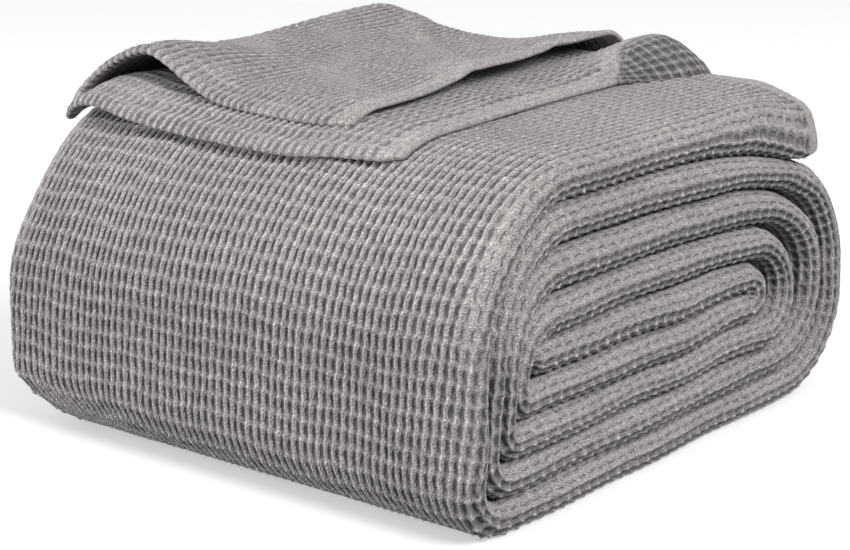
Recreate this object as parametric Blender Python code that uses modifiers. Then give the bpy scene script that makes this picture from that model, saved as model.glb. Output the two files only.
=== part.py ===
"""Waffle weave cotton blanket, folded lengthwise into a thick strip and rolled up flat.

Metres, +Z up. The roll's axis runs along X, its long front faces -Y, and its spiral shows at +X and -X.
The blanket is one piece of cloth, so it is one solid: the rolled strip, and the loose end of two layers
that turns back over the top. The origin is the middle of the footprint, on the surface it rests on.
"""

import math
from collections import namedtuple

import bmesh
import bpy
from mathutils import Vector

# Driving sizes.
STRIP_WIDTH = 0.2229  # the folded strip, edge fold to edge fold, along X
NOSE_Y = 0.1005  # the back of the top layer, where the strip ends
INNER_END_Y = -0.0856  # the strip's other end, in the eye of the spiral
CLOTH = 0.0024  # one layer of the cloth
MIDDLE = (-0.00261, -0.00416)  # the middle of the footprint in the sizes below, which becomes the origin

# The strip lies in straight runs joined by round corners, from its end on top to the eye of the spiral.
# side: which way the run faces; place: its middle, as Z for top and bottom or Y for left and right;
# thick: the folded layers there; corner: radius of the bend into the next run.
Run = namedtuple("Run", "side place thick corner")
RUNS = (
    Run("top", 0.1167, 0.0140, 0.0565),
    Run("left", -0.1239, 0.0085, 0.0204),
    Run("bottom", 0.0064, 0.0128, 0.0314),
    Run("right", 0.1130, 0.0137, 0.0471),
    Run("top", 0.1019, 0.0133, 0.0449),
    Run("left", -0.1154, 0.0066, 0.0130),
    Run("bottom", 0.0198, 0.0119, 0.0251),
    Run("right", 0.0954, 0.0126, 0.0345),
    Run("top", 0.0871, 0.0133, 0.0334),
    Run("left", -0.1085, 0.0057, 0.0086),
    Run("bottom", 0.0326, 0.0118, 0.0173),
    Run("right", 0.0750, 0.0126, 0.0228),
    Run("top", 0.0727, 0.0126, 0.0214),
    Run("left", -0.1017, 0.0057, 0.0063),
    Run("bottom", 0.0451, 0.0114, 0.0063),
    Run("right", 0.0542, 0.0106, 0.0067),
    Run("top", 0.0587, 0.0126, 0.0),
)
NOSE_THICK = 0.0169  # the strip's end on top is fuller than the layers below it
NOSE_LENGTH = 0.0377

# A change that comes in softly between two values.
Span = namedtuple("Span", "start end")

# How the loaded roll settles out of its straight runs. Lengths are metres; heights are shares of the roll's.
BACK_DROP = 0.0079  # the upper layers sink towards the back
DROP_ALONG = Span(0.0, 0.086)
DROP_HEIGHTS = Span(0.25, 0.95)
LEVEL_TOP = Span(0.97, 1.05)  # the top face stays level
BARREL = 0.0024  # the middle of each end stands out past its top and bottom
LOW_TUCK = 0.0157  # the far end is drawn in along its lower front edge
LOW_TUCK_HEIGHTS = Span(0.0, 0.20)
TOP_TUCK = 0.0094  # and along its upper front edge
TOP_TUCK_HEIGHTS = Span(0.40, 0.90)
TUCK_ALONG = Span(-0.118, -0.016)
TUCK_FADE = 0.6  # the share of the tuck that is lost towards the back

# The loose end is one sheet folded in two at -X. Its section runs from the lower layer's free edge,
# round the fold, to the upper layer's free edge. x: along the roll; low and high: height over the roll
# at the front and at the back.
Fold = namedtuple("Fold", "x low high")
LOOSE_END = (
    Fold(0.0487, 0.0016, 0.0017),
    Fold(0.0377, 0.0017, 0.0027),
    Fold(0.0236, 0.0019, 0.0027),
    Fold(0.0110, 0.0019, 0.0024),
    Fold(-0.0031, 0.0020, 0.0024),
    Fold(-0.0236, 0.0022, 0.0024),
    Fold(-0.0487, 0.0031, 0.0024),
    Fold(-0.0707, 0.0050, 0.0025),
    Fold(-0.0864, 0.0068, 0.0027),
    Fold(-0.0989, 0.0049, 0.0027),
    Fold(-0.1083, -0.0004, 0.0022),
    Fold(-0.1150, -0.0071, 0.0008),
    Fold(-0.1177, -0.0047, 0.0027),
    Fold(-0.1158, 0.0004, 0.0055),
    Fold(-0.1091, 0.0063, 0.0077),
    Fold(-0.1005, 0.0122, 0.0086),
    Fold(-0.0911, 0.0173, 0.0088),
    Fold(-0.0816, 0.0201, 0.0085),
    Fold(-0.0714, 0.0173, 0.0077),
    Fold(-0.0597, 0.0118, 0.0071),
    Fold(-0.0455, 0.0074, 0.0068),
    Fold(-0.0236, 0.0063, 0.0066),
    Fold(-0.0031, 0.0061, 0.0068),
    Fold(0.0141, 0.0063, 0.0072),
)
LOWER_FRONT_Y = -0.0911  # the lower layer's front hem
UPPER_FRONT_Y = -0.0793  # the upper layer's front hem
HEM_STEP = Span(0.40, 0.60)  # the front hem steps back in this share of the section, at the fold
RISE_ALONG = Span(-0.05, 0.50)  # low gives way to high in this share of the sheet's length
BACK_LIFT = 0.0039  # the fold rises again towards the back
LIFT_ALONG = Span(0.50, 0.95)
LIFT_UPPER = Span(0.45, 0.60)
LIFT_ACROSS = Span(0.055, 0.118)
TENT_LIFT = 0.0098  # the lower layer stands off the roll near its back corner
TENT_RISE = Span(0.0079, 0.0369)
TENT_FALL = Span(0.0369, 0.0487)
TENT_ALONG = Span(0.0236, 0.0864)
FLARE = 0.0126  # the corner spreads this much where it turns down
FLARE_ACROSS = Span(0.0345, 0.0487)
FLARE_ALONG = Span(0.0471, 0.0942)
TURN_CENTRE_Y = 0.0887  # where the loose end turns down round the strip's end
TURN_CENTRE_Z = 0.1123
TURN_DEGREES = 150
TURN_SINK = 0.0090  # how far the turned part closes in on the strip's end
SINK_TURN = Span(0.55, 1.0)
TURN_TUCK = 0.0079  # the far corner is drawn in as it turns down
TUCK_ACROSS = Span(0.0942, 0.1178)
TUCK_TURN = Span(0.2, 1.0)

# Steps of the mesh.
WIDTH_STEPS = 4
EDGE_STEPS = 4
RUN_STEP = 0.0267
SHORTEST_RUN = 0.0024  # bends this close to each other share a station
LEAST_CORNER_STEPS = 3
CORNER_STEP = 0.0141  # one more step for each such length of radius
CAP_STEPS = 3
CAP_SHARE = 0.94  # the caps stop just short of a point
SHEET_ROWS = 9
MERGE = 0.00001
TURN_ROWS = 7
SHARP = math.radians(50)

GREY_COTTON = (0.34, 0.33, 0.325, 1.0)


def blend(low, high, share):
    return low + (high - low) * share


def ease(value, span):
    share = min(1.0, max(0.0, (value - span.start) / (span.end - span.start)))
    return share * share * (3.0 - 2.0 * share)


def clear_scene():
    for obj in list(bpy.data.objects):
        bpy.data.objects.remove(obj)


def collection(name):
    made = bpy.data.collections.new(name)
    bpy.context.scene.collection.children.link(made)
    return made


def cotton(name):
    material = bpy.data.materials.new(name)
    material.use_nodes = True
    shader = material.node_tree.nodes["Principled BSDF"]
    shader.inputs["Base Color"].default_value = GREY_COTTON
    shader.inputs["Roughness"].default_value = 0.92
    shader.inputs["Metallic"].default_value = 0.0
    return material


def corner_point(run, following):
    """(Y, Z) where two neighbouring runs would meet if the corner were sharp."""
    upright, level = (run, following) if run.side in ("left", "right") else (following, run)
    return Vector((upright.place, level.place))


def spiral_path():
    """The strip's middle line as (point, thickness) pairs, the points in the YZ plane."""
    corners = [corner_point(run, following) for run, following in zip(RUNS, RUNS[1:])]
    start = Vector((NOSE_Y - NOSE_THICK / 2, RUNS[0].place))
    end = Vector((INNER_END_Y, RUNS[-1].place))
    path = []
    here = start
    for index, corner in enumerate(corners):
        run, following = RUNS[index], RUNS[index + 1]
        after = corners[index + 1] if index + 1 < len(corners) else end
        ahead = (corner - here).normalized()
        turned = (after - corner).normalized()
        bend_start = corner - ahead * run.corner
        straight = (bend_start - here).length
        steps = math.ceil(straight / RUN_STEP) if straight > SHORTEST_RUN else 0
        path += [(here.lerp(bend_start, step / steps), run.thick) for step in range(steps)]
        centre = bend_start + turned * run.corner
        corner_steps = LEAST_CORNER_STEPS + round(run.corner / CORNER_STEP)
        for step in range(corner_steps + 1):
            angle = math.pi / 2 * step / corner_steps
            point = centre - turned * run.corner * math.cos(angle) + ahead * run.corner * math.sin(angle)
            path.append((point, blend(run.thick, following.thick, step / corner_steps)))
        here = path.pop()[0]
    steps = round((end - here).length / RUN_STEP)
    path += [(here.lerp(end, step / steps), RUNS[-1].thick) for step in range(steps + 1)]
    level = start.y - SHORTEST_RUN / 2
    return [nose_shape(point, thick, level) for point, thick in path]


def nose_shape(point, thick, level):
    """Fills out the strip's end on top, downwards."""
    if point.y < level:
        return point, thick
    nose = Span(NOSE_Y - NOSE_LENGTH, NOSE_Y - NOSE_THICK / 2)
    full = blend(thick, NOSE_THICK, ease(point.x, nose))
    return Vector((point.x, point.y - (full - thick) / 2)), full


def rounded_ends(path):
    """Adds a half-round cap to both ends of the path, as (point, direction, thickness) stations."""
    stations = []
    for index, (point, thick) in enumerate(path):
        before = path[max(0, index - 1)][0]
        after = path[min(len(path) - 1, index + 1)][0]
        stations.append((point, (after - before).normalized(), thick))
    first, last = stations[0], stations[-1]
    for step in range(1, CAP_STEPS + 1):
        angle = math.pi / 2 * step / CAP_STEPS * CAP_SHARE
        for place, station, way in ((0, first, -1), (len(stations), last, 1)):
            point, direction, thick = station
            reach = direction * way * math.sin(angle) * thick / 2
            cap = (point + reach, direction, thick * math.cos(angle))
            stations.insert(0 if place == 0 else len(stations), cap)
    return stations


def settle(point):
    """Moves a point of the straight-sided roll to where the cloth comes to rest."""
    x, y, z = point
    height = z / RUNS[0].place
    side = x / (STRIP_WIDTH / 2)
    x += BARREL * side**3 * max(0.0, 1.0 - (2.0 * height - 1.0) ** 2)
    if side < 0.0:
        tuck = LOW_TUCK * (1.0 - ease(height, LOW_TUCK_HEIGHTS)) + TOP_TUCK * ease(height, TOP_TUCK_HEIGHTS)
        x += tuck * side * side * (1.0 - TUCK_FADE * ease(y, TUCK_ALONG))
    z -= BACK_DROP * ease(y, DROP_ALONG) * ease(height, DROP_HEIGHTS) * (1.0 - ease(height, LEVEL_TOP))
    return Vector((x, y, z))


def strip_ring():
    """The strip's section as (x, share of the thickness) points: flat faces and round edge folds."""
    ring = []
    for way in (1, -1):
        for step in range(WIDTH_STEPS):
            ring.append((way * blend(-1.0, 1.0, step / WIDTH_STEPS), way * 0.5, 0.0))
        for step in range(EDGE_STEPS):
            angle = math.pi * step / EDGE_STEPS
            ring.append((way * 1.0, way * 0.5 * math.cos(angle), way * math.sin(angle)))
    return ring


def strip_mesh():
    """The rolled strip: one tube, flat in section, that follows the spiral."""
    stations = rounded_ends(spiral_path())
    ring = strip_ring()
    mesh = bmesh.new()
    bmesh.ops.create_grid(mesh, x_segments=len(stations) - 1, y_segments=len(ring), size=0.5)
    for vert in mesh.verts:
        station = stations[round((vert.co.x + 0.5) * (len(stations) - 1))]
        across, level, bulge = ring[round((vert.co.y + 0.5) * len(ring)) % len(ring)]
        point, direction, thick = station
        normal = Vector((direction.y, -direction.x))
        flat_half = STRIP_WIDTH / 2 - RUNS[0].thick / 2
        x = across * flat_half + bulge * min(thick, RUNS[0].thick) / 2
        place = point + normal * level * thick
        vert.co = settle((x, place.x, place.y))
    bmesh.ops.remove_doubles(mesh, verts=mesh.verts, dist=MERGE)
    bmesh.ops.translate(mesh, verts=mesh.verts, vec=(-MIDDLE[0], -MIDDLE[1], 0.0))
    bmesh.ops.holes_fill(mesh, edges=[edge for edge in mesh.edges if edge.is_boundary], sides=0)
    bmesh.ops.recalc_face_normals(mesh, faces=mesh.faces)
    return mesh


def roll_top(y):
    """Height of the rolled strip's top at a distance from front to back."""
    top, front = RUNS[0], RUNS[1]
    radius = top.corner + top.thick / 2
    shoulder = front.place + top.corner
    if y >= shoulder:
        return top.place + top.thick / 2
    return top.place - top.corner + math.sqrt(max(0.0, radius**2 - (y - shoulder) ** 2))


def loose_end_point(fold, share, row):
    """A point of the loose end: a row of its section, from the front hem to inside the strip's end."""
    front = blend(LOWER_FRONT_Y, UPPER_FRONT_Y, ease(share, HEM_STEP))
    if row <= SHEET_ROWS:
        along = row / SHEET_ROWS
        y = blend(front, TURN_CENTRE_Y, along)
        rise = blend(fold.low, fold.high, ease(along, RISE_ALONG))
        rise += BACK_LIFT * ease(along, LIFT_ALONG) * ease(share, LIFT_UPPER) * ease(-fold.x, LIFT_ACROSS)
        tent = ease(fold.x, TENT_RISE) * (1.0 - ease(fold.x, TENT_FALL))
        rise += TENT_LIFT * tent * ease(y, TENT_ALONG)
        x = fold.x + FLARE * ease(y, FLARE_ALONG) * ease(fold.x, FLARE_ACROSS)
        return Vector((x, y, roll_top(y) + rise))
    top = loose_end_point(fold, share, SHEET_ROWS)
    turn = (row - SHEET_ROWS) / TURN_ROWS
    angle = turn * math.radians(TURN_DEGREES)
    radius = top.z - TURN_CENTRE_Z - TURN_SINK * ease(turn, SINK_TURN)
    inward = TURN_TUCK * ease(-fold.x, TUCK_ACROSS) * ease(turn, TUCK_TURN)
    return Vector((top.x + inward, TURN_CENTRE_Y + radius * math.sin(angle),
                   TURN_CENTRE_Z + radius * math.cos(angle)))


def loose_end_mesh():
    """The middle surface of the loose end, before it is given the cloth's thickness."""
    rows = SHEET_ROWS + TURN_ROWS
    mesh = bmesh.new()
    bmesh.ops.create_grid(mesh, x_segments=len(LOOSE_END) - 1, y_segments=rows, size=0.5)
    for vert in mesh.verts:
        column = round((vert.co.x + 0.5) * (len(LOOSE_END) - 1))
        row = round((vert.co.y + 0.5) * rows)
        vert.co = loose_end_point(LOOSE_END[column], column / (len(LOOSE_END) - 1), row)
    bmesh.ops.translate(mesh, verts=mesh.verts, vec=(-MIDDLE[0], -MIDDLE[1], 0.0))
    bmesh.ops.recalc_face_normals(mesh, faces=mesh.faces)
    return mesh


def add_object(mesh, name, home):
    data = bpy.data.meshes.new(name)
    mesh.to_mesh(data)
    mesh.free()
    data.shade_smooth()
    data.set_sharp_from_angle(angle=SHARP)
    obj = bpy.data.objects.new(name, data)
    home.objects.link(obj)
    return obj


def build():
    clear_scene()
    parts = collection("waffle_weave_blanket")
    helpers = collection("joined_shapes")

    loose_end = add_object(loose_end_mesh(), "loose_end_shape", helpers)
    wall = loose_end.modifiers.new("cloth", "SOLIDIFY")
    wall.thickness = CLOTH
    wall.offset = 0.0
    loose_end.hide_render = True
    loose_end.display_type = "WIRE"

    blanket = add_object(strip_mesh(), "blanket", parts)
    blanket.data.materials.append(cotton("grey_waffle_cotton"))
    join = blanket.modifiers.new("loose_end", "BOOLEAN")
    join.operation = "UNION"
    join.object = loose_end


build()
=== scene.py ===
import math
from collections import namedtuple

import bmesh
import bpy
import numpy as np
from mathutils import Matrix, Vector


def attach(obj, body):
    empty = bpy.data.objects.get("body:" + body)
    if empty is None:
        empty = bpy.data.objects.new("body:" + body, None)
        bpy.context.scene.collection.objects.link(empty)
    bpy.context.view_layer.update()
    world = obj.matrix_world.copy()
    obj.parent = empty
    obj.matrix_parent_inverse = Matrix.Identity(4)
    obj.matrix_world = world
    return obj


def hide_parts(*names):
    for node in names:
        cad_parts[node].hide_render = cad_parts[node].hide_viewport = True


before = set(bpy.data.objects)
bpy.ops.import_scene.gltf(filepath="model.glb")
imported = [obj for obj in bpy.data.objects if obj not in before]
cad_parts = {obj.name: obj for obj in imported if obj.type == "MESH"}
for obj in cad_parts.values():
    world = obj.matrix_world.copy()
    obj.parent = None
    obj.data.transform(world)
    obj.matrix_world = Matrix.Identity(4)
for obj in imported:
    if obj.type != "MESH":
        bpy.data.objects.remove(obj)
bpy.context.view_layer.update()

# camera first: the view from the right front corner, a little above the blanket
cameraView = {
    "place": (0.52958, -0.66749, 0.28582),
    "azimuth": 38.6048,      # degrees, 0 looks along +Y
    "elevation": 15.4401,    # degrees down
    "lens": 95.29,           # mm on a 36 mm sensor
}


def makeCamera():
    data = bpy.data.cameras.new("photoView")
    data.lens = cameraView["lens"]
    data.sensor_width = 36.0
    camera = bpy.data.objects.new("photoView", data)
    camera.location = cameraView["place"]
    camera.rotation_euler = (math.radians(90 - cameraView["elevation"]), 0, math.radians(cameraView["azimuth"]))
    bpy.context.scene.collection.objects.link(camera)
    bpy.context.scene.camera = camera


makeCamera()
print("camera placed")


# the waffle: one cell is a rib and the pocket on its right, rows run across the strip
waffle = {
    "pitch": 0.0036,         # m, rib to rib
    "row": 0.0063,           # m, bar to bar
    "height": 0.0009,        # m, ribs and bars
    "pocketDepth": 0.0011,   # m
    "ribAt": 0.25, "ribWide": 0.235, "ribCore": 0.03,
    "strandAt": 0.54, "strandWide": 0.20, "strandCore": 0.02,  # the thinner strand on the rib's right
    "barAt": 0.88, "barWide": 0.24, "barCore": 0.03,
    "knotAt": (0.13, 0.90), "knotWide": (0.34, 0.16),
    "slotAt": 0.79, "slotWide": 0.27, "slotCore": 0.13,
    "slotMiddle": 0.35, "slotLong": 0.43, "slotFull": 0.22,
    "sway": 0.06,            # cells, the ribs wave a little
    "closed": 0.38,          # the share of its width a pocket keeps where the cloth is stretched
    "stretched": (0.3, 1.0),
    "ribShares": (0.40, 0.70), "barShares": (0.55, 0.06),  # of the height, stretched and open
    "ribWaist": 0.85,        # how high a rib stays between the bars
    "knotty": (0.90, 1.0), "knottyWaist": 0.40, "knottyBar": 0.30,   # round the edge folds the knots stand alone
    "strandShare": 0.38, "knotShare": 0.53,
    "barUnder": 0.3,         # how much lower a bar lies where a rib crosses it
}


def ease(value, start, end):
    share = np.clip((value - start) / (end - start), 0.0, 1.0)
    return share * share * (3.0 - 2.0 * share)


def mix(low, high, share):
    return low + (high - low) * share


def near(value, centre, wide, core):
    away = np.abs((value - centre + 0.5) % 1.0 - 0.5)
    return 1.0 - ease(away / wide, core / wide, 1.0)


# puff is 0.9 where the weave stands open and 1 round the edge folds, less where it is stretched or pressed and on the
# upward-facing halves of the folds, and more where it is crumpled; in the material low puff paints highlight and puff
# past 1 paints shade
def relief(across, along, puff):
    openness = ease(puff, *waffle["stretched"])
    swayed = across + waffle["sway"] * np.sin(2 * np.pi * along)
    rib = near(swayed, waffle["ribAt"], waffle["ribWide"], waffle["ribCore"])
    strand = near(swayed, waffle["strandAt"], waffle["strandWide"], waffle["strandCore"]) * openness
    bar = near(along, waffle["barAt"], waffle["barWide"], waffle["barCore"])
    knot = near(swayed, waffle["knotAt"][0], waffle["knotWide"][0], 0)
    knot = knot * near(along, waffle["knotAt"][1], waffle["knotWide"][1], 0)
    width = mix(waffle["closed"], 1.0, openness)
    pocket = near(swayed, waffle["slotAt"], waffle["slotWide"] * width, waffle["slotCore"] * width)
    pocket = pocket * near(along, waffle["slotMiddle"], waffle["slotLong"], waffle["slotFull"])
    knotty = ease(puff, *waffle["knotty"])
    rib = rib * mix(1, mix(mix(waffle["ribWaist"], waffle["knottyWaist"], knotty), 1, bar), openness)
    raised = rib * mix(*waffle["ribShares"], openness)
    raised = raised + bar * mix(*waffle["barShares"], openness) * (1 - waffle["barUnder"] * rib)
    raised = raised + waffle["knottyBar"] * knotty * bar
    raised = raised + waffle["strandShare"] * strand * (1 - knotty)
    raised = raised + waffle["knotShare"] * knot * openness
    return puff * (waffle["height"] * raised - waffle["pocketDepth"] * pocket)


# smooth seeded unevenness, about one unit high, over any two coordinates
def drift(seed, first, second, scale, waves=7):
    pick = np.random.default_rng(seed)
    total = 0.0
    for _ in range(waves):
        turn, size, shift = pick.uniform(0, 2 * np.pi), pick.uniform(0.5, 1.5) / scale, pick.uniform(0, 2 * np.pi)
        total = total + np.sin(2 * np.pi * size * (first * math.cos(turn) + second * math.sin(turn)) + shift)
    return total / math.sqrt(waves / 2)


meshing = {
    "weld": 0.000004,        # m, points closer than this become one
    "sharp": 80,             # degrees, an edge that turns more stays a crease
}


# one grid, placed point by point: points[v, u], cells[v, u] for the weave, puff[v, u] for how loose the weave lies
def clothMesh(name, points, cells, puff, material):
    rows, columns = points.shape[0] - 1, points.shape[1] - 1
    mesh = bmesh.new()
    bmesh.ops.create_grid(mesh, x_segments=columns, y_segments=rows, size=0.5)
    data = bpy.data.meshes.new(name)
    mesh.to_mesh(data)
    mesh.free()
    flat = np.empty(len(data.vertices) * 3, np.float32)
    data.vertices.foreach_get("co", flat)
    u = np.rint((flat[0::3] + 0.5) * columns).astype(int)
    v = np.rint((flat[1::3] + 0.5) * rows).astype(int)
    data.vertices.foreach_set("co", points[v, u].astype(np.float32).ravel())
    loose = data.attributes.new("puff", "FLOAT", "POINT")
    loose.data.foreach_set("value", puff[v, u].astype(np.float32).ravel())
    corner = np.empty(len(data.loops), np.int32)
    data.loops.foreach_get("vertex_index", corner)
    data.uv_layers.new(name="cells").data.foreach_set("uv", cells[v, u][corner].astype(np.float32).ravel())
    mesh = bmesh.new()
    mesh.from_mesh(data)
    bmesh.ops.remove_doubles(mesh, verts=mesh.verts, dist=meshing["weld"])
    rims = [edge for edge in mesh.edges if edge.is_boundary]
    if rims:
        bmesh.ops.holes_fill(mesh, edges=rims, sides=0)
    bmesh.ops.recalc_face_normals(mesh, faces=mesh.faces)
    mesh.to_mesh(data)
    mesh.free()
    data.shade_smooth()
    data.set_sharp_from_angle(angle=math.radians(meshing["sharp"]))
    data.materials.append(material)
    piece = bpy.data.objects.new(name, data)
    bpy.context.scene.collection.objects.link(piece)
    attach(piece, "root")
    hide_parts("blanket")
    print(name, len(data.polygons), "faces")
    return piece


def crossed(first, second):
    normal = np.cross(first, second)
    return normal / np.maximum(np.linalg.norm(normal, axis=2, keepdims=True), 1e-12)


# the strip's way through the roll, from its end on top to the eye of the spiral, in the YZ plane
rollRun = namedtuple("rollRun", "side place thick corner")
runs = (
    rollRun("top", 0.1167, 0.0140, 0.0565),
    rollRun("left", -0.1239, 0.0085, 0.0204),
    rollRun("bottom", 0.0064, 0.0128, 0.0314),
    rollRun("right", 0.1130, 0.0137, 0.0471),
    rollRun("top", 0.1019, 0.0133, 0.0449),
    rollRun("left", -0.1154, 0.0066, 0.0130),
    rollRun("bottom", 0.0198, 0.0119, 0.0251),
    rollRun("right", 0.0954, 0.0126, 0.0345),
    rollRun("top", 0.0871, 0.0133, 0.0334),
    rollRun("left", -0.1085, 0.0057, 0.0086),
    rollRun("bottom", 0.0326, 0.0118, 0.0173),
    rollRun("right", 0.0750, 0.0126, 0.0228),
    rollRun("top", 0.0727, 0.0126, 0.0214),
    rollRun("left", -0.1017, 0.0057, 0.0063),
    rollRun("bottom", 0.0451, 0.0114, 0.0063),
    rollRun("right", 0.0542, 0.0106, 0.0067),
    rollRun("top", 0.0587, 0.0126, 0.0),
)
strip = {
    "width": 0.2229,         # m, edge fold to edge fold
    "noseY": 0.1022,
    "innerEndY": -0.0856,
    "noseThick": 0.0169,
    "noseLength": 0.0377,
    "noseRound": 0.014, "noseNarrow": 0.020,
    "noseHem": 0.006,        # m, plain hem round the strip's end
    "noseRowFrom": (0.005, 0.0065), "noseRow": (0.0120, 0.0140),   # m, the row beside it stands open
    "noseOpen": 0.8, "hemPuff": 0.12,
    "noseWithin": 0.15,      # m, the thicker end lies within this of the start
    "middle": (-0.00261, -0.00416),
    "foldLength": 0.0216,    # m, the cloth round each edge fold
    "pullIn": 0.0012,        # m, the folds stop short by the height of their ribs
}
settling = {
    "backDrop": 0.0079, "dropAlong": (0.0, 0.086), "dropHeights": (0.25, 0.95), "levelTop": (0.97, 1.05),
    "barrel": 0.0024,
    "lowTuck": 0.0157, "lowTuckHeights": (0.0, 0.20),
    "topTuck": 0.0094, "topTuckHeights": (0.40, 0.90),
    "tuckAlong": (-0.118, -0.016), "tuckFade": 0.6,
    "sideTuck": 0.0028, "sideTuckHeights": (0.70, 1.0),
    "uneven": 0.00038,       # m, how far the turns inside the roll stray
    "unevenFrom": 0.004, "unevenWithin": (0.024, 0.028), "unevenScales": (0.070, 0.065),
    "cornerSag": 0.010, "cornerAcross": (0.080, 0.118), "cornerAlong": (0.045, 0.105), "cornerHeights": (0.85, 1.0),
}


def cornerPoint(run, following):
    upright, level = (run, following) if run.side in ("left", "right") else (following, run)
    return Vector((upright.place, level.place))


def spiralPath(step=0.0012):
    corners = [cornerPoint(run, following) for run, following in zip(runs, runs[1:])]
    here = Vector((strip["noseY"] - strip["noseThick"] / 2, runs[0].place))
    end = Vector((strip["innerEndY"], runs[-1].place))
    path = []
    for index, corner in enumerate(corners):
        run, following = runs[index], runs[index + 1]
        after = corners[index + 1] if index + 1 < len(corners) else end
        ahead, turned = (corner - here).normalized(), (after - corner).normalized()
        bendStart = corner - ahead * run.corner
        count = max(1, math.ceil((bendStart - here).length / step))
        path += [(*here.lerp(bendStart, k / count), run.thick) for k in range(count)]
        centre = bendStart + turned * run.corner
        count = max(6, math.ceil(run.corner * math.pi / 2 / step))
        for k in range(count):
            angle = math.pi / 2 * k / count
            point = centre - turned * run.corner * math.cos(angle) + ahead * run.corner * math.sin(angle)
            path.append((*point, mix(run.thick, following.thick, k / count)))
        here = centre + ahead * run.corner
    count = math.ceil((end - here).length / step)
    path += [(*here.lerp(end, k / count), runs[-1].thick) for k in range(count + 1)]
    path = np.array(path)
    length = np.concatenate([[0], np.cumsum(np.linalg.norm(np.diff(path[:, :2], axis=0), axis=1))])
    nose = ease(path[:, 0], strip["noseY"] - strip["noseLength"], strip["noseY"] - strip["noseThick"] / 2)
    nose *= length < strip["noseWithin"]
    full = mix(path[:, 2], strip["noseThick"], nose)
    path[:, 1] -= (full - path[:, 2]) / 2
    path[:, 2] = full
    return length, path


pathLength, pathTable = spiralPath()
print("strip path", round(pathLength[-1], 3), "m")


def settle(x, y, z):
    withinZ, withinY = settling["unevenWithin"]
    inside = ease(np.minimum(z, runs[0].place - z), settling["unevenFrom"], withinZ)
    inside = inside * ease(np.minimum(y - runs[1].place, runs[3].place - y), settling["unevenFrom"], withinY)
    scaleY, scaleZ = settling["unevenScales"]
    strayY, strayZ = drift(31, y, z, scaleY), drift(32, y, z, scaleZ)
    y, z = y + settling["uneven"] * inside * strayY, z + settling["uneven"] * inside * strayZ
    height = z / runs[0].place
    side = x / (strip["width"] / 2)
    x = x + settling["barrel"] * side ** 3 * np.maximum(0.0, 1.0 - (2.0 * height - 1.0) ** 2)
    tuck = settling["lowTuck"] * (1.0 - ease(height, *settling["lowTuckHeights"]))
    tuck = tuck + settling["topTuck"] * ease(height, *settling["topTuckHeights"])
    tuck = tuck + settling["sideTuck"] * (1.0 - ease(height, *settling["sideTuckHeights"]))
    x = x + (side < 0) * tuck * side * side * (1.0 - settling["tuckFade"] * ease(y, *settling["tuckAlong"]))
    drop = ease(y, *settling["dropAlong"]) * ease(height, *settling["dropHeights"])
    z = z - settling["backDrop"] * drop * (1.0 - ease(height, *settling["levelTop"]))
    corner = ease(x, *settling["cornerAcross"]) * ease(y, *settling["cornerAlong"])
    corner = corner * ease(height, *settling["cornerHeights"])
    z = z - settling["cornerSag"] * corner
    return np.stack([x - strip["middle"][0], y - strip["middle"][1], z], axis=-1)


# section: the outer face from -X, the edge fold at +X, the inner face back, the edge fold at -X
section = {
    "faceCells": 58,
    "foldCells": 6,
    "foldStep": 0.2, "foldPast": 3,          # cells, fine steps round each fold and a little past it
    "capSteps": 9, "capDegrees": 84,
    "capNarrow": 0.970, "capRelief": 0.3, "capPlain": 0.2,   # the rounded ends draw in and their relief fades
    "wander": 0.17,          # cells, how far the ribs and rows stray
    "jitter": (0.05, 0.04),  # cells, and how far from one to the next
    "lean": 2.6,             # cells, how far the ribs lean over by the foot of the front
    "leanAlong": (0.17, 0.30),
    "bandSwell": 0.0005,     # m, how unevenly the edge folds stand out
    "swellAcross": (0.100, 0.108), "swellRows": 9,
    "openPuff": 0.9, "foldPuff": 0.1,        # on the faces, and what the folds have more
    "calm": 0.34, "calmAlong": (0.120, 0.185), "calmAcross": (0.42, 0.49),   # the weave lies flatter on top, and so takes the painted highlight of the flat parts
    "pressedAndLit": 0.55, "pressedLitFacing": (-0.25, 0.35),                         # and on the upper half of each fold, picked by which way it faces, which also paints that half lighter than the lower half
}


def sectionAt(cell, thick):
    faceCells, foldCells = section["faceCells"], section["foldCells"]
    half = strip["width"] / 2 - runs[0].thick / 2 - strip["pullIn"]
    radius = thick / 2
    lead = np.maximum(0.0, strip["foldLength"] - math.pi * radius) / 2
    turn = faceCells + foldCells
    cell = np.mod(cell, 2 * turn)
    second = cell >= turn
    cell = np.where(second, cell - turn, cell)
    onFace = cell < faceCells
    x = mix(-half, half, cell / faceCells)
    path = np.clip((cell - faceCells) / foldCells, 0, 1) * (2 * lead + math.pi * radius)
    angle = np.clip((path - lead) / np.maximum(radius, 1e-6), 0, math.pi)
    out = np.minimum(path, lead) - np.maximum(0, path - lead - math.pi * radius) + radius * np.sin(angle)
    x = np.where(onFace, x, half + out)
    level = np.where(onFace, 0.5, 0.5 * np.cos(angle))
    flip = np.where(second, -1.0, 1.0)
    return x * flip, level * flip


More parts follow.
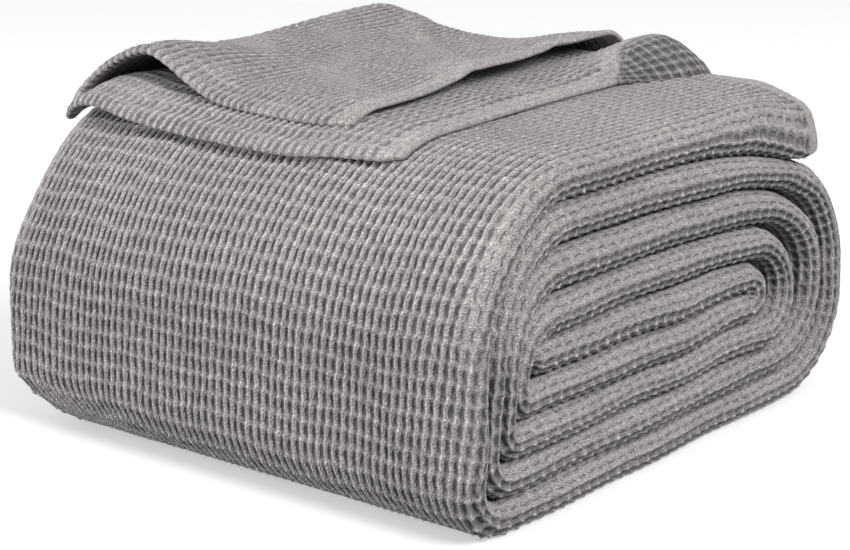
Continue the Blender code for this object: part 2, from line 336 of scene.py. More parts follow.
def strand(name, start, end, perRow, faceStep, backStep, capStart, capEnd, material):
    count = round((end - start) / waffle["row"] * perRow)
    along = np.linspace(start, end, count + 1)
    capSteps = section["capSteps"]
    turns = math.radians(section["capDegrees"]) * (np.arange(1, capSteps + 1) / capSteps)
    before = turns[::-1] if capStart else np.array([math.pi / 2])
    behind = turns if capEnd else np.array([math.pi / 2])
    station = np.concatenate([np.full(len(before), start), along, np.full(len(behind), end)])
    turn = np.concatenate([before, np.zeros(count + 1), behind])
    way = np.concatenate([-np.ones(len(before)) * capStart, np.zeros(count + 1), np.ones(len(behind)) * capEnd])
    thickHere = np.interp(station, pathLength, pathTable[:, 2])
    rowLine = (station + way * turn * thickHere / 2) / waffle["row"]
    faceCells, foldCells = section["faceCells"], section["foldCells"]
    face = np.arange(0, faceCells, faceStep)
    foldStep, past = section["foldStep"], section["foldPast"]
    fold = np.arange(0, foldCells + past, foldStep) + faceCells
    back = np.arange(past, faceCells, backStep) + faceCells + foldCells
    last = np.arange(0, foldCells, foldStep) + 2 * faceCells + foldCells
    line = np.concatenate([face, fold, back, last, [2 * (faceCells + foldCells)]])
    cell, row = np.meshgrid(line, rowLine)
    loop, turnCells = 2 * (faceCells + foldCells), faceCells + foldCells
    # the same wander on both sides of the seam at the end of the loop
    circle = cell / loop * 2 * np.pi
    roundX, roundY = np.cos(circle) * loop / 6.28, np.sin(circle) * loop / 6.28
    cellJitter, rowJitter = section["jitter"]
    strayCell = section["wander"] * drift(11, roundX + 0.3 * row, roundY, 14)
    strayCell = strayCell + cellJitter * drift(14, roundX, roundY + row, 4)
    strayRow = section["wander"] * drift(12, roundX, roundY + 0.6 * row, 17)
    strayRow = strayRow + rowJitter * drift(15, roundX + row, roundY, 4)
    s = station[:, None] + strayRow * waffle["row"] * (turn == 0)[:, None]
    beyond = 0.01            # m, rows may wander past a join with the next strand
    s = np.clip(s, start - beyond * (not capStart), end + beyond * (not capEnd))
    y, z, thick = (np.interp(s, pathLength, pathTable[:, part]) for part in range(3))
    reach = 0.003
    dy = np.interp(s + reach, pathLength, pathTable[:, 0]) - np.interp(s - reach, pathLength, pathTable[:, 0])
    dz = np.interp(s + reach, pathLength, pathTable[:, 1]) - np.interp(s - reach, pathLength, pathTable[:, 1])
    size = np.hypot(dy, dz)
    dy, dz = dy / size, dz / size
    squeeze = np.cos(turn)[:, None]
    ahead = (way * np.sin(turn))[:, None] * thick / 2
    lean = section["lean"] * ease(s, *section["leanAlong"])
    at = np.mod(cell + strayCell - lean, loop)
    x, level = sectionAt(at, thick)
    endward = np.clip(1 - s / strip["noseRound"], 0, 1) * capStart
    x = x * (1 - strip["noseNarrow"] * endward ** 2) * mix(section["capNarrow"], 1.0, squeeze)
    side = np.sign(x)
    swell = side * ease(np.abs(x), *section["swellAcross"]) * section["bandSwell"]
    x = x + swell * drift(13, row, 7 * side, section["swellRows"])
    level = level * thick * squeeze
    py = y + dy * ahead + dz * level
    pz = z + dz * ahead - dy * level
    points = settle(x, py, pz)
    du = np.roll(points[:, :-1], -1, 1) - np.roll(points[:, :-1], 1, 1)
    du = np.concatenate([du, du[:, :1]], 1)
    normal = crossed(du, np.gradient(points, axis=0))
    normal[0], normal[-1] = normal[1], normal[-2]
    if (normal[count // 2, :, 2] * (pz - z)[count // 2] + normal[count // 2, :, 1] * (py - y)[count // 2]).sum() < 0:
        normal = -normal
    onTop = 1 - ease(station, *section["calmAlong"])[:, None]
    calmFrom, calmTo = section["calmAcross"]
    calm = onTop * (1 - ease(np.abs(cell - faceCells / 2), faceCells * calmFrom, faceCells * calmTo))
    onFold = ease(np.mod(at, turnCells), faceCells - 0.5, faceCells + 1.0)
    puff = (section["openPuff"] + section["foldPuff"] * onFold) * (1 - section["calm"] * calm)
    # less puff on the upward-facing half of each fold: flatter relief there, plus painted highlight and less painted
    # pocket shade
    puff = puff * (1 - section["pressedAndLit"] * onFold * ease(normal[..., 2], *section["pressedLitFacing"]))
    fromEnd = rowLine[:, None] * waffle["row"]
    opened = strip["noseOpen"] * capStart * ease(fromEnd, *strip["noseRowFrom"])
    puff = mix(puff, 1, opened * (1 - ease(fromEnd, *strip["noseRow"])))
    hem = (1 - ease(fromEnd, strip["noseHem"] - 0.001, strip["noseHem"])) * capStart
    puff = mix(puff, strip["hemPuff"], hem)
    height = relief(cell, row, puff) * mix(section["capRelief"], 1.0, squeeze)
    height = height * (np.cos(turn) > section["capPlain"])[:, None]
    points = points + normal * height[..., None]
    points[..., 2] = np.maximum(points[..., 2], 0)
    points[:, -1] = points[:, 0]
    return clothMesh(name, points, np.stack([cell, row], axis=-1), puff, material)


def addNode(tree, kind, values=(), **settings):
    made = tree.nodes.new(kind)
    for key, value in settings.items():
        setattr(made, key, value)
    for socket, value in (values.items() if isinstance(values, dict) else enumerate(values)):
        if isinstance(value, bpy.types.NodeSocket):
            tree.links.new(value, made.inputs[socket])
        else:
            made.inputs[socket].default_value = value
    return made


def calc(tree, operation, *values):
    return addNode(tree, "ShaderNodeMath", values, operation=operation).outputs[0]


def ramp(tree, value, start, end, low=0.0, high=1.0):
    made = addNode(tree, "ShaderNodeMapRange", (value, start, end, low, high), interpolation_type="SMOOTHSTEP")
    return made.outputs[0]


def nearNodes(tree, value, centre, wide, core):
    away = calc(tree, "PINGPONG", calc(tree, "SUBTRACT", value, centre), 0.5)
    return ramp(tree, away, core, wide, 1.0, 0.0)


def noise(tree, vector, scale, detail, roughness=0.5):
    values = {"Vector": vector, "Scale": scale, "Detail": detail, "Roughness": roughness}
    return addNode(tree, "ShaderNodeTexNoise", values).outputs[0]


waffleMasks = ("Pocket", "Rib", "Strand", "Bar", "Knot", "Ply", "Height")
yarn = {
    "strayScale": 1.7, "stray": 0.34,        # how unevenly the threads run, in cells
    "plies": (3.0, 5.0), "plyStray": 11.0,   # plies to a cell across and along, and how they wander
}


# the same waffle as relief() makes: a mask each for its pockets, ribs, strands, bars, knots and plies, and its
# height for a bump
def makeWaffleGroup():
    tree = bpy.data.node_groups.new("waffleWeave", "ShaderNodeTree")
    tree.interface.new_socket("Cells", in_out="INPUT", socket_type="NodeSocketVector")
    tree.interface.new_socket("Puff", in_out="INPUT", socket_type="NodeSocketFloat")
    for out in waffleMasks:
        tree.interface.new_socket(out, in_out="OUTPUT", socket_type="NodeSocketFloat")
    given = tree.nodes.new("NodeGroupInput")
    split = addNode(tree, "ShaderNodeSeparateXYZ", (given.outputs["Cells"],))
    across, along = split.outputs[0], split.outputs[1]
    stray = noise(tree, given.outputs["Cells"], yarn["strayScale"], 2.0)
    stray = calc(tree, "MULTIPLY", calc(tree, "SUBTRACT", stray, 0.5), yarn["stray"])
    sway = calc(tree, "SINE", calc(tree, "MULTIPLY", along, 2 * math.pi))
    swayed = calc(tree, "ADD", calc(tree, "MULTIPLY_ADD", sway, waffle["sway"], across), stray)
    shifted = calc(tree, "ADD", along, stray)
    openness = ramp(tree, given.outputs["Puff"], *waffle["stretched"])
    rib = nearNodes(tree, swayed, waffle["ribAt"], waffle["ribWide"], waffle["ribCore"])
    strand = nearNodes(tree, swayed, waffle["strandAt"], waffle["strandWide"], waffle["strandCore"])
    strand = calc(tree, "MULTIPLY", strand, openness)
    bar = nearNodes(tree, shifted, waffle["barAt"], waffle["barWide"], waffle["barCore"])
    knot = calc(tree, "MULTIPLY", nearNodes(tree, swayed, waffle["knotAt"][0], waffle["knotWide"][0], 0.0),
                nearNodes(tree, shifted, waffle["knotAt"][1], waffle["knotWide"][1], 0.0))
    knot = calc(tree, "MULTIPLY", knot, openness)
    width = ramp(tree, openness, 0.0, 1.0, waffle["closed"], 1.0)
    wide, core = calc(tree, "MULTIPLY", width, waffle["slotWide"]), calc(tree, "MULTIPLY", width, waffle["slotCore"])
    pocket = nearNodes(tree, swayed, waffle["slotAt"], wide, core)
    pocketLong = nearNodes(tree, shifted, waffle["slotMiddle"], waffle["slotLong"], waffle["slotFull"])
    pocket = calc(tree, "MULTIPLY", pocket, pocketLong)
    # the plies of the yarn, slanting unevenly across each rib
    plyAcross, plyAlong = yarn["plies"]
    slant = calc(tree, "MULTIPLY_ADD", along, plyAlong, calc(tree, "MULTIPLY", across, plyAcross))
    slant = calc(tree, "MULTIPLY_ADD", stray, yarn["plyStray"], slant)
    ply = calc(tree, "MULTIPLY_ADD", calc(tree, "SINE", calc(tree, "MULTIPLY", slant, 2 * math.pi)), 0.5, 0.5)
    knotty = ramp(tree, given.outputs["Puff"], *waffle["knotty"])
    waist = ramp(tree, bar, 0.0, 1.0, ramp(tree, knotty, 0.0, 1.0, waffle["ribWaist"], waffle["knottyWaist"]), 1.0)
    rib = calc(tree, "MULTIPLY", rib, calc(tree, "MAXIMUM", waist, calc(tree, "SUBTRACT", 1.0, openness)))
    ribShare = ramp(tree, openness, 0.0, 1.0, *waffle["ribShares"])
    barShare = ramp(tree, openness, 0.0, 1.0, *waffle["barShares"])
    height = calc(tree, "MULTIPLY_ADD", rib, ribShare, calc(tree, "MULTIPLY", bar, barShare))
    strand = calc(tree, "MULTIPLY", strand, calc(tree, "SUBTRACT", 1.0, knotty))
    height = calc(tree, "MULTIPLY_ADD", strand, waffle["strandShare"], height)
    height = calc(tree, "MULTIPLY_ADD", knot, waffle["knotShare"], height)
    height = calc(tree, "SUBTRACT", height, pocket)
    height = calc(tree, "MULTIPLY", height, given.outputs["Puff"])
    put = tree.nodes.new("NodeGroupOutput")
    for name, value in zip(waffleMasks, (pocket, rib, strand, bar, knot, ply, height)):
        tree.links.new(value, put.inputs[name])
    return tree


# the cotton's colours and finish, with the painted pocket shade and the painted highlight on the raised yarn
finishAndPaintedLight = {
    "yarn": (0.225, 0.213, 0.209, 1),        # between the ribs
    "paintedPocketShade": (0.134, 0.126, 0.124, 1),        # painted shade in the pockets
    "crestHighlight": (0.62, 0.587, 0.578, 1),        # painted highlight on the raised ribs, bars, strands and knots
    "pocketShades": (0.78, 1.05),            # how strong the painted pocket shade is, on the faces and round the edge folds
    "stretchedHighlight": 0.62,                  # how much painted highlight the flat parts take: the stretched top, the hems and the upward-facing halves of the folds
    "crumpled": 0.70,                        # painted shade on the crumpled cloth beside the lifted hem, where the puff passes 1
    "barTone": (0.04, 0.35), "knotTone": (0.60, 0.65), "brightest": (1.1, 0.3),   # painted highlight on the bars and knots, and its cap: on the faces, and more on the folds
    "strandTone": 0.55, "knotSpread": (0.2, 1.05),
    "specular": 0.25, "sheen": 0.15, "sheenRoughness": 0.5,
    "fuzzScale": 1500.0, "lintScale": 420.0, "broadScale": 22.0, "cellScale": 0.9,
    "fuzzTone": (0.58, 1.34), "lintTone": (0.85, 1.12), "broadTone": (0.94, 1.04), "plyTone": (0.78, 1.0),
    "roughness": (0.86, 0.97),
    "bump": 0.9, "bumpDepth": 0.0007,        # strength, and m
}


def makeCotton(name):
    cotton = bpy.data.materials.new(name)
    cotton.use_nodes = True
    tree = cotton.node_tree
    shader = tree.nodes["Principled BSDF"]
    shader.inputs["Specular IOR Level"].default_value = finishAndPaintedLight["specular"]
    shader.inputs["Sheen Weight"].default_value = finishAndPaintedLight["sheen"]
    shader.inputs["Sheen Roughness"].default_value = finishAndPaintedLight["sheenRoughness"]
    cells = addNode(tree, "ShaderNodeUVMap", uv_map="cells").outputs[0]
    puff = addNode(tree, "ShaderNodeAttribute", attribute_name="puff").outputs["Fac"]
    place = tree.nodes.new("ShaderNodeTexCoord").outputs["Object"]
    weave = addNode(tree, "ShaderNodeGroup", node_tree=waffleGroup)
    tree.links.new(cells, weave.inputs["Cells"])
    tree.links.new(puff, weave.inputs["Puff"])
    fuzz = noise(tree, place, finishAndPaintedLight["fuzzScale"], 3.0, 0.7)
    lint = noise(tree, place, finishAndPaintedLight["lintScale"], 2.0)
    broad = noise(tree, place, finishAndPaintedLight["broadScale"], 3.0)
    cellTone = noise(tree, cells, finishAndPaintedLight["cellScale"], 1.0)
    knotty = ramp(tree, puff, *waffle["knotty"])
    # painted shade in the pockets, stronger round the edge folds and varying from cell to cell
    shade = calc(tree, "MULTIPLY", weave.outputs["Pocket"], ramp(tree, knotty, 0.0, 1.0, *finishAndPaintedLight["pocketShades"]))
    shade = calc(tree, "MULTIPLY", shade, ramp(tree, puff, 0.0, 0.4, 0.0, 1.0))
    shade = calc(tree, "MULTIPLY", shade, ramp(tree, cellTone, 0.25, 0.75, 0.75, 1.1))
    # the yarn's tone, darkened by the painted pocket shade
    base = addNode(tree, "ShaderNodeMix", data_type="RGBA")
    tree.links.new(shade, base.inputs[0])
    base.inputs[6].default_value = finishAndPaintedLight["yarn"]
    base.inputs[7].default_value = finishAndPaintedLight["paintedPocketShade"]
    # painted highlight: the crest colour laid over the raised yarn, kept out of the pockets' painted shade
    highlighted = addNode(tree, "ShaderNodeMix", data_type="RGBA")
    barTone, knotTone, brightest = (calc(tree, "MULTIPLY_ADD", knotty, finishAndPaintedLight[key][1], finishAndPaintedLight[key][0])
                                    for key in ("barTone", "knotTone", "brightest"))
    crestHighlight = calc(tree, "MULTIPLY_ADD", weave.outputs["Bar"], barTone, weave.outputs["Rib"])
    crestHighlight = calc(tree, "MULTIPLY_ADD", weave.outputs["Strand"], finishAndPaintedLight["strandTone"], crestHighlight)
    knotTone = calc(tree, "MULTIPLY", knotTone, ramp(tree, cellTone, 0.32, 0.68, *finishAndPaintedLight["knotSpread"]))
    crestHighlight = calc(tree, "MULTIPLY_ADD", weave.outputs["Knot"], knotTone, crestHighlight)
    crestHighlight = calc(tree, "MINIMUM", crestHighlight, brightest)
    # painted highlight over the flat parts, where the puff is low
    flat = ramp(tree, puff, 0.3, 1.0, finishAndPaintedLight["stretchedHighlight"], 0.0)
    crestHighlight = calc(tree, "MAXIMUM", calc(tree, "MULTIPLY", crestHighlight, ramp(tree, puff, 0.2, 1.0, 0.75, 0.95)), flat)
    crestHighlight = calc(tree, "MULTIPLY", crestHighlight, ramp(tree, fuzz, 0.25, 0.55, 0.5, 1.0))
    crestHighlight = calc(tree, "MULTIPLY", crestHighlight, calc(tree, "MAXIMUM", calc(tree, "SUBTRACT", 1.0, shade), 0.0))
    tree.links.new(crestHighlight, highlighted.inputs[0])
    tree.links.new(base.outputs[2], highlighted.inputs[6])
    highlighted.inputs[7].default_value = finishAndPaintedLight["crestHighlight"]
    tone = calc(tree, "MULTIPLY", ramp(tree, fuzz, 0.32, 0.68, *finishAndPaintedLight["fuzzTone"]),
                ramp(tree, lint, 0.3, 0.7, *finishAndPaintedLight["lintTone"]))
    tone = calc(tree, "MULTIPLY", tone, ramp(tree, broad, 0.3, 0.7, *finishAndPaintedLight["broadTone"]))
    tone = calc(tree, "MULTIPLY", tone, ramp(tree, weave.outputs["Ply"], 0.0, 0.6, *finishAndPaintedLight["plyTone"]))
    # painted shade where the puff passes 1, on the crumpled cloth beside the lifted hem
    tone = calc(tree, "MULTIPLY", tone, ramp(tree, puff, 1.0, 1.2, 1.0, finishAndPaintedLight["crumpled"]))
    toned = addNode(tree, "ShaderNodeVectorMath", operation="SCALE")
    tree.links.new(highlighted.outputs[2], toned.inputs[0])
    tree.links.new(tone, toned.inputs["Scale"])
    tree.links.new(toned.outputs[0], shader.inputs["Base Color"])
    tree.links.new(ramp(tree, fuzz, 0.3, 0.7, *finishAndPaintedLight["roughness"]), shader.inputs["Roughness"])
    height = calc(tree, "MULTIPLY_ADD", weave.outputs["Ply"], 0.3, weave.outputs["Height"])
    height = calc(tree, "MULTIPLY_ADD", fuzz, 0.5, height)
    height = calc(tree, "MULTIPLY_ADD", lint, 0.35, height)
    values = {"Strength": finishAndPaintedLight["bump"], "Distance": finishAndPaintedLight["bumpDepth"], "Height": height}
    tree.links.new(addNode(tree, "ShaderNodeBump", values).outputs[0], shader.inputs["Normal"])
    return cotton


waffleGroup = makeWaffleGroup()
cotton = makeCotton("greyWaffleCotton")
print("cotton made")

rollFront = strand("rollFront", 0.0, 0.326, 4.5, 0.2, 2.0, 1, 0, cotton)
rollBack = strand("rollBack", 0.326, 0.66, 4, 0.25, 2.0, 0, 0, cotton)
rollCore = strand("rollCore", 0.66, 1.40, 4, 2.0, 2.0, 0, 0, cotton)
rollEye = strand("rollEye", 1.40, float(pathLength[-1]), 4, 2.0, 2.0, 0, 1, cotton)


# the loose end: one sheet folded in two at -X. Its section runs from the lower layer's free edge, round the
# fold, to the upper layer's free edge; low and high are its heights over the roll at the front and at the back
sheetFold = namedtuple("sheetFold", "x low high")
looseSection = (
    sheetFold(0.0487, 0.0016, 0.0017),
    sheetFold(0.0377, 0.0017, 0.0027),
    sheetFold(0.0236, 0.0019, 0.0027),
    sheetFold(0.0110, 0.0019, 0.0024),
    sheetFold(-0.0031, 0.0020, 0.0024),
    sheetFold(-0.0236, 0.0022, 0.0024),
    sheetFold(-0.0487, 0.0031, 0.0024),
    sheetFold(-0.0707, 0.0050, 0.0025),
    sheetFold(-0.0864, 0.0068, 0.0027),
    sheetFold(-0.0989, 0.0049, 0.0027),
    sheetFold(-0.1083, -0.0004, 0.0022),
    sheetFold(-0.1150, -0.0071, 0.0008),
    sheetFold(-0.1177, -0.0047, 0.0027),
    sheetFold(-0.1158, 0.0004, 0.0055),
    sheetFold(-0.1091, 0.0063, 0.0077),
    sheetFold(-0.1005, 0.0122, 0.0086),
    sheetFold(-0.0911, 0.0173, 0.0088),
    sheetFold(-0.0816, 0.0201, 0.0085),
    sheetFold(-0.0714, 0.0173, 0.0077),
    sheetFold(-0.0597, 0.0118, 0.0071),
    sheetFold(-0.0455, 0.0074, 0.0068),
    sheetFold(-0.0236, 0.0063, 0.0066),
    sheetFold(-0.0031, 0.0061, 0.0068),
    sheetFold(0.0141, 0.0063, 0.0072),
)
loose = {
    "lowerFrontY": -0.0952, "upperFrontY": -0.0793, "hemStep": (0.40, 0.60),
    "lowerBow": 0.0052, "lowerBowAt": (0.02, 0.16, 0.30, 0.46),  # the lower front edge bows forward
    "upperBow": 0.0050, "upperBowAt": (0.74, 0.92),
    "lowerReach": 0.0055, "lowerReachAt": 0.12,                  # and the corners of both layers reach out
    "upperReach": 0.0078, "upperReachAt": (0.70, 1.0), "reachFades": (0.5, 0.75),
    "cornerRound": 0.0032, "cornerWithin": (0.035, 0.965),
    "droop": 0.0022, "droopAlong": 0.10, "droopAcross": (0.6, 0.8),
    "backSag": 0.0036, "sagAlong": (0.45, 0.90), "sagUpper": (0.60, 0.74),
    "sagEdge": (0.86, 0.97), "sagEdgeAlong": (0.5, 0.8),
    "ridge": 0.0009, "ridgeUpper": (0.55, 0.70),
    "ridges": ((-0.9, 0.010, 0.0050), (0.55, 0.048, 0.0065)),    # slope, shift and width of each
    "riseAlong": (-0.05, 0.50),
    "backLift": 0.0039, "liftAlong": (0.50, 0.95), "liftUpper": (0.45, 0.60), "liftAcross": (0.055, 0.118),
    "tentLift": 0.0098, "tentRise": (0.0079, 0.0369), "tentFall": (0.0369, 0.0487), "tentAlong": (0.0236, 0.0864),
    "flare": 0.0126, "flareAcross": (0.0345, 0.0487), "flareAlong": (0.0471, 0.0942),
    "turnY": 0.0905, "turnZ": 0.1123, "turnDegrees": 98,
    "turnTuck": 0.0079, "tuckAcross": (0.0942, 0.1178), "tuckTurn": (0.2, 1.0),
    "turnShare": 0.8,        # of the sheet's length, where it turns down
    "thick": 0.0019,         # m, cloth without its ribs
    "hem": 0.0088,           # m, width of the plain hem at +X
    "hemShift": 0.0130,      # m, how far in it runs where the cloth stands up as a tent
    "shiftAlong": (0.046, 0.074), "edgeSink": 0.0026, "sinkWithin": 0.018,
    # a crumpled puff past 1 also paints shade on that cloth in the material
    "tighter": (1.7, 1.25), "crumpledShadedPuff": 1.2, "crumpledRelief": 0.4,
    "hemSwell": 0.35, "hemPress": 0.65, "groove": 0.00035, "grooveWide": 0.0009,
    "rim": 0.0016, "frontRim": 0.0030, "edgeSteps": (0, 0.0003, 0.0008),     # m, how the edges round off
    "edgeLift": 0.0042, "edgeLiftAcross": (0.88, 1.0), "edgeLiftAlong": (0.22, 0.55, 0.80, 0.97),
    "frontRoll": (0.0028, 0.0068), "frontSwell": 0.85,   # the front edge is a soft roll
    "puff": 0.67, "puffDrift": 0.09, "puffScale": 0.045,
    "stray": (0.0006, 0.0009), "strayScales": (0.05, 0.06), "strayFrom": 0.012,
    "measuredAt": (0.45, 0.62),   # shares of the way and of the section at which its lengths are taken
    "perRow": 4.6, "perCell": 3.2,
}


def rollTop(y):
    top, front = runs[0], runs[1]
    radius, shoulder = top.corner + top.thick / 2, front.place + top.corner
    return np.where(y >= shoulder, top.place + top.thick / 2,
                    top.place - top.corner + np.sqrt(np.maximum(0, radius ** 2 - (y - shoulder) ** 2)))


# a smooth line through a table's rows, at shares of the way through it
def smoothLine(values, share):
    values = np.asarray(values, float)
    padded = np.concatenate([[2 * values[0] - values[1]], values, [2 * values[-1] - values[-2]]])
    at = np.clip(share, 0, 1) * (len(values) - 1)
    index = np.minimum(at.astype(int), len(values) - 2)
    t = at - index
    p0, p1, p2, p3 = (padded[index + k] for k in range(4))
    return p1 + 0.5 * t * (p2 - p0 + t * (2 * p0 - 5 * p1 + 4 * p2 - p3 + t * (3 * (p1 - p2) + p3 - p0)))


def looseSheet(share, way):
    x0 = smoothLine([fold.x for fold in looseSection], share)
    low = smoothLine([fold.low for fold in looseSection], share)
    high = smoothLine([fold.high for fold in looseSection], share)
    along = np.minimum(way / loose["turnShare"], 1.0)
    turn = np.maximum(way - loose["turnShare"], 0.0) / (1 - loose["turnShare"])
    front = mix(loose["lowerFrontY"], loose["upperFrontY"], ease(share, *loose["hemStep"]))
    bowUp, bowFull, bowBack, bowDown = loose["lowerBowAt"]
    front = front - loose["lowerBow"] * ease(share, bowUp, bowFull) * (1 - ease(share, bowBack, bowDown))
    front = front - loose["upperBow"] * ease(share, *loose["upperBowAt"])
    roundLower, roundUpper = loose["cornerWithin"]
    front = front + loose["cornerRound"] * (1 - ease(share, 0, roundLower) + ease(share, roundUpper, 1))
    fadeLower, fadeUpper = loose["reachFades"]
    x0 = x0 + loose["lowerReach"] * (1 - ease(share, 0, loose["lowerReachAt"])) * (1 - ease(way, 0, fadeLower))
    x0 = x0 + loose["upperReach"] * ease(share, *loose["upperReachAt"]) * (1 - ease(way, 0, fadeUpper))
    y = mix(front, loose["turnY"], along)
    rise = mix(low, high, ease(along, *loose["riseAlong"]))
    lift = loose["backLift"] * ease(along, *loose["liftAlong"]) * ease(share, *loose["liftUpper"])
    rise = rise + lift * ease(-x0, *loose["liftAcross"])
    held = ease(share, *loose["sagEdge"]) * ease(along, *loose["sagEdgeAlong"])
    sag = ease(share, *loose["sagUpper"]) * (1 - held)
    rise = rise - loose["backSag"] * ease(along, *loose["sagAlong"]) * sag
    liftUp, liftFull, liftBack, liftDown = loose["edgeLiftAlong"]
    edge = loose["edgeLift"] * ease(share, *loose["edgeLiftAcross"]) * ease(along, liftUp, liftFull)
    rise = rise + edge * (1 - ease(way, liftBack, liftDown))
    rise = rise - loose["droop"] * (1 - ease(along, 0, loose["droopAlong"])) * ease(share, *loose["droopAcross"])
    upper = ease(share, *loose["ridgeUpper"])
    for slope, shift, wide in loose["ridges"]:
        rise = rise + loose["ridge"] * upper * np.exp(-((y - slope * x0 - shift) / wide) ** 2)
    tent = ease(x0, *loose["tentRise"]) * (1 - ease(x0, *loose["tentFall"]))
    rise = rise + loose["tentLift"] * tent * ease(y, *loose["tentAlong"])
    rise = rise - loose["edgeSink"] * (1 - ease(share, 0.0, loose["sinkWithin"])) * ease(y, *loose["shiftAlong"])
    x = x0 + loose["flare"] * ease(y, *loose["flareAlong"]) * ease(x0, *loose["flareAcross"])
    z = rollTop(y) + rise
    angle = turn * math.radians(loose["turnDegrees"])
    radius = z - loose["turnZ"]
    x = x + loose["turnTuck"] * ease(-x0, *loose["tuckAcross"]) * ease(turn, *loose["tuckTurn"])
    past = turn > 0
    y = np.where(past, loose["turnY"] + radius * np.sin(angle), y)
    z = np.where(past, loose["turnZ"] + radius * np.cos(angle), z)
    return np.stack([x - strip["middle"][0], y - strip["middle"][1], z], axis=-1)


# how far along a line of points each of them lies, in metres and as a share of their count
def evenShares(points):
    length = np.concatenate([[0], np.cumsum(np.linalg.norm(np.diff(points, axis=0), axis=1))])
    return length, np.linspace(0, 1, len(points))


# stations from edge to edge, closer together where the edges round off
def edgedLine(length, step):
    edge, rim = np.array(loose["edgeSteps"]), loose["rim"]
    count = round((length - 2 * rim) / step)
    return np.concatenate([edge, np.linspace(rim, length - rim, count), length - edge[::-1]])


# how full the cloth is, this far from an edge that rounds off within reach
def fullness(away, reach):
    return np.sqrt(1 - (1 - np.clip(away / reach, 0, 1)) ** 2)


def makeLooseEnd(name, material):
    fine = np.linspace(0, 1, 900)
    measuredWay, measuredShare = loose["measuredAt"]
    sectionLength, shares = evenShares(looseSheet(fine, np.full(len(fine), measuredWay)))
    wayLength, ways = evenShares(looseSheet(np.full(len(fine), measuredShare), fine))
    width, length = sectionLength[-1], wayLength[-1]
    stepX, stepY = waffle["pitch"] / loose["perCell"], waffle["row"] / loose["perRow"]
    across, along = np.meshgrid(edgedLine(width, stepX), edgedLine(length, stepY))
    endX, endY = np.minimum(across, width - across), np.minimum(along, length - along)
    strayX = loose["stray"][0] * drift(21, across, along, loose["strayScales"][0])
    strayY = loose["stray"][1] * drift(22, across, along, loose["strayScales"][1])
    share = np.interp(across + strayX * ease(endX, 0, loose["strayFrom"]), sectionLength, shares)
    way = np.interp(along + strayY * ease(endY, 0, loose["strayFrom"]), wayLength, ways)
    middle = looseSheet(share, way)
    normal = crossed(np.gradient(middle, axis=1), np.gradient(middle, axis=0))
    if normal[across.shape[0] // 3, -across.shape[1] // 4, 2] < 0:
        normal = -normal
    body = fullness(endX, loose["rim"]) * fullness(endY, loose["frontRim"])
    tent = ease(middle[..., 1], *loose["shiftAlong"]) * (across < width / 2)
    inward = endX - loose["hemShift"] * tent
    hem = (1 - ease(inward, loose["hem"] * 0.85, loose["hem"])) * ease(inward, -0.0015 * tent - 0.0001, 0)
    groove = loose["groove"] * np.exp(-((inward - loose["hem"]) / loose["grooveWide"]) ** 2)
    roll = 1 - ease(endY, *loose["frontRoll"])
    swell = 1 + loose["hemSwell"] * hem + loose["frontSwell"] * roll
    half = (loose["thick"] / 2 * swell - groove) * body
    puff = loose["puff"] + loose["puffDrift"] * drift(23, across, along, loose["puffScale"])
    # the crumpled cloth beside the lifted hem gets a puff past 1, which paints shade on it in the material
    puff = mix(puff, loose["crumpledShadedPuff"], (1 - ease(inward, -0.0012, 0)) * ease(tent, 0.1, 0.3))
    puff = puff * (1 - loose["hemPress"] * hem)
    crumpled = (inward < 0) & (tent > 0.1)
    cell = across / waffle["pitch"] * np.where(crumpled, loose["tighter"][0], 1)
    row = along / waffle["row"] * np.where(crumpled, loose["tighter"][1], 1)
    height = relief(cell, row, np.minimum(puff, 1)) * body * np.where(crumpled, loose["crumpledRelief"], 1)
    topSide = middle + normal * (half + height)[..., None]
    underSide = middle - normal * (half + height)[..., None]
    points = np.concatenate([topSide, underSide[:, -2::-1]], axis=1)
    cells = np.stack([cell, row], axis=-1)
    cells = np.concatenate([cells, cells[:, -2::-1]], axis=1)
    puff = np.concatenate([puff, puff[:, -2::-1]], axis=1)
    piece = clothMesh(name, points, cells, puff, material)
    return piece


looseEnd = makeLooseEnd("looseEnd", cotton)


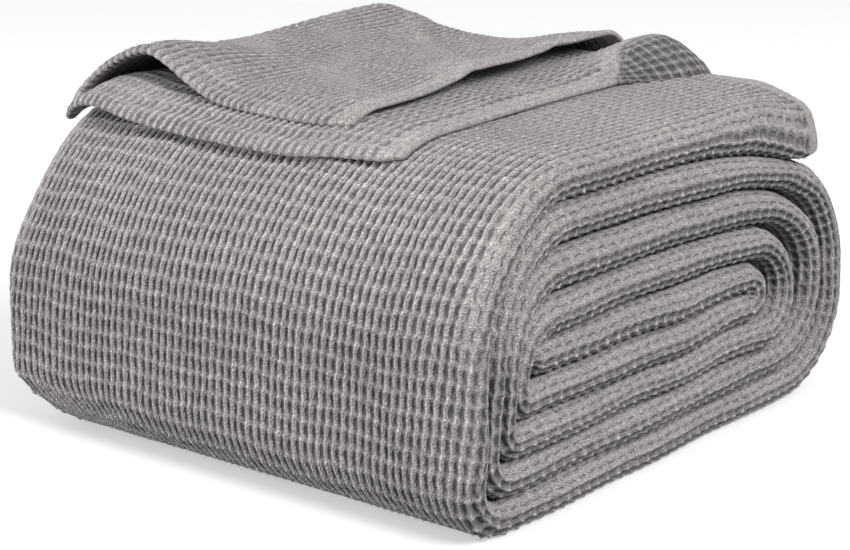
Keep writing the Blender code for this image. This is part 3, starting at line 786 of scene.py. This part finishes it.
studio = {
    "skyUnder": 0.22, "skyLow": 0.37, "skyHigh": 0.56,  # world strength from below, at the horizon and overhead
    "key": (1.5, -0.3, 1.32, 30.0, 1.0),     # x, y, z, watts, size
    "fill": (-0.9, -1.8, 0.42, 35.0, 1.0),
    "floorSize": 9.0, "floorTone": (0.9, 0.9, 0.9, 1), "floorRoughness": 0.6,
    "floorGlow": 0.30,
}


def makeFloor():
    mesh = bmesh.new()
    bmesh.ops.create_grid(mesh, x_segments=1, y_segments=1, size=studio["floorSize"])
    data = bpy.data.meshes.new("floor")
    mesh.to_mesh(data)
    mesh.free()
    floor = bpy.data.objects.new("floor", data)
    pale = bpy.data.materials.new("paleFloor")
    pale.use_nodes = True
    shader = pale.node_tree.nodes["Principled BSDF"]
    shader.inputs["Base Color"].default_value = studio["floorTone"]
    shader.inputs["Roughness"].default_value = studio["floorRoughness"]
    shader.inputs["Emission Color"].default_value = (1, 1, 1, 1)
    shader.inputs["Emission Strength"].default_value = studio["floorGlow"]
    data.materials.append(pale)
    bpy.context.scene.collection.objects.link(floor)
    floor.visible_diffuse = False            # it throws no light back up


def areaLight(name, x, y, z, watts, size):
    data = bpy.data.lights.new(name, "AREA")
    data.energy = watts
    data.shape = "DISK"
    data.size = size
    light = bpy.data.objects.new(name, data)
    light.location = (x, y, z)
    light.rotation_euler = (Vector((0, 0, 0.07)) - light.location).to_track_quat("-Z", "Y").to_euler()
    bpy.context.scene.collection.objects.link(light)


# light from all round, stronger from above
def makeAir():
    world = bpy.data.worlds.new("studioAir")
    world.use_nodes = True
    tree = world.node_tree
    background = tree.nodes["Background"]
    background.inputs["Color"].default_value = (1, 1, 1, 1)
    direction = tree.nodes.new("ShaderNodeTexCoord").outputs["Generated"]
    upward = addNode(tree, "ShaderNodeSeparateXYZ", (direction,)).outputs[2]
    sky = ramp(tree, upward, 0.0, 1.0, studio["skyLow"], studio["skyHigh"])
    under = ramp(tree, upward, -0.2, 0.0, studio["skyUnder"] / studio["skyLow"], 1.0)
    tree.links.new(calc(tree, "MULTIPLY", sky, under), background.inputs["Strength"])
    bpy.context.scene.world = world


makeFloor()
makeAir()
areaLight("key", *studio["key"])
areaLight("fill", *studio["fill"])
print("floor and lights placed")

bpy.context.scene.view_settings.view_transform = "Standard"
